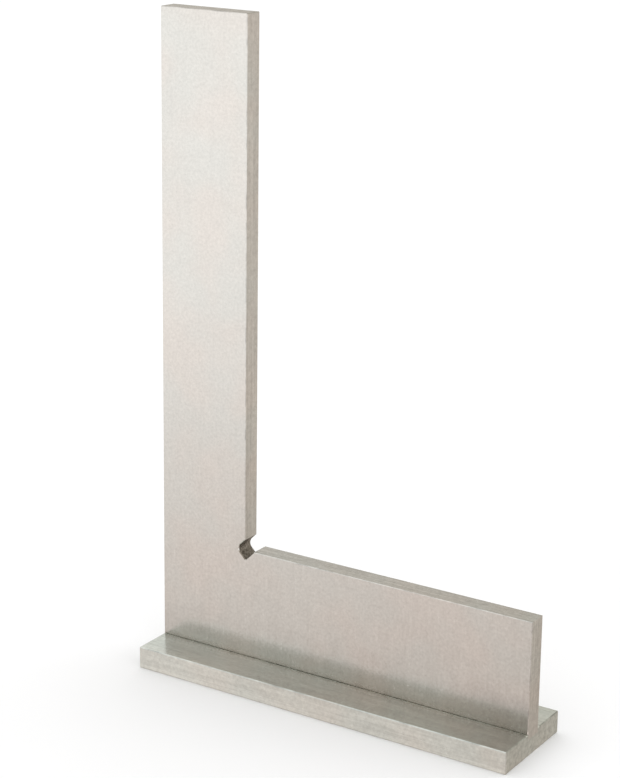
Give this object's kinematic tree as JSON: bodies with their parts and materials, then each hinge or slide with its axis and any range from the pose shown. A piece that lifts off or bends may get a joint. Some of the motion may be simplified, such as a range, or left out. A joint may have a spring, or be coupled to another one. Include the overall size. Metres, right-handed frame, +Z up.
{
  "type": "try square",
  "caption": "All-steel back square: an L-shaped blade with a relief slot at its inner corner, standing on edge along the middle of a flat stop bar.",
  "frame": {"origin": "middle of the stop bar's underside", "axes": "+X along the stop bar from the outer corner to the short leg's free end, +Y across the bar, +Z up the long leg"},
  "size_m": [0.13, 0.033, 0.207],
  "materials": {
    "blade_steel": "satin ground, fine grain along each leg, bare and unmarked",
    "bar_steel": "satin ground, fine grain along the bar, bare and unmarked",
    "screw_steel": "blackened hardened steel with a slight sheen",
    "pin_steel": "ground hardened steel"
  },
  "bodies": {
    "root": {"blade": "blade_steel", "stop_bar": "bar_steel", "screw_1": "screw_steel", "screw_2": "screw_steel", "screw_3": "screw_steel", "dowel_pin_1": "pin_steel", "dowel_pin_2": "pin_steel"}
  },
  "joints": []
}
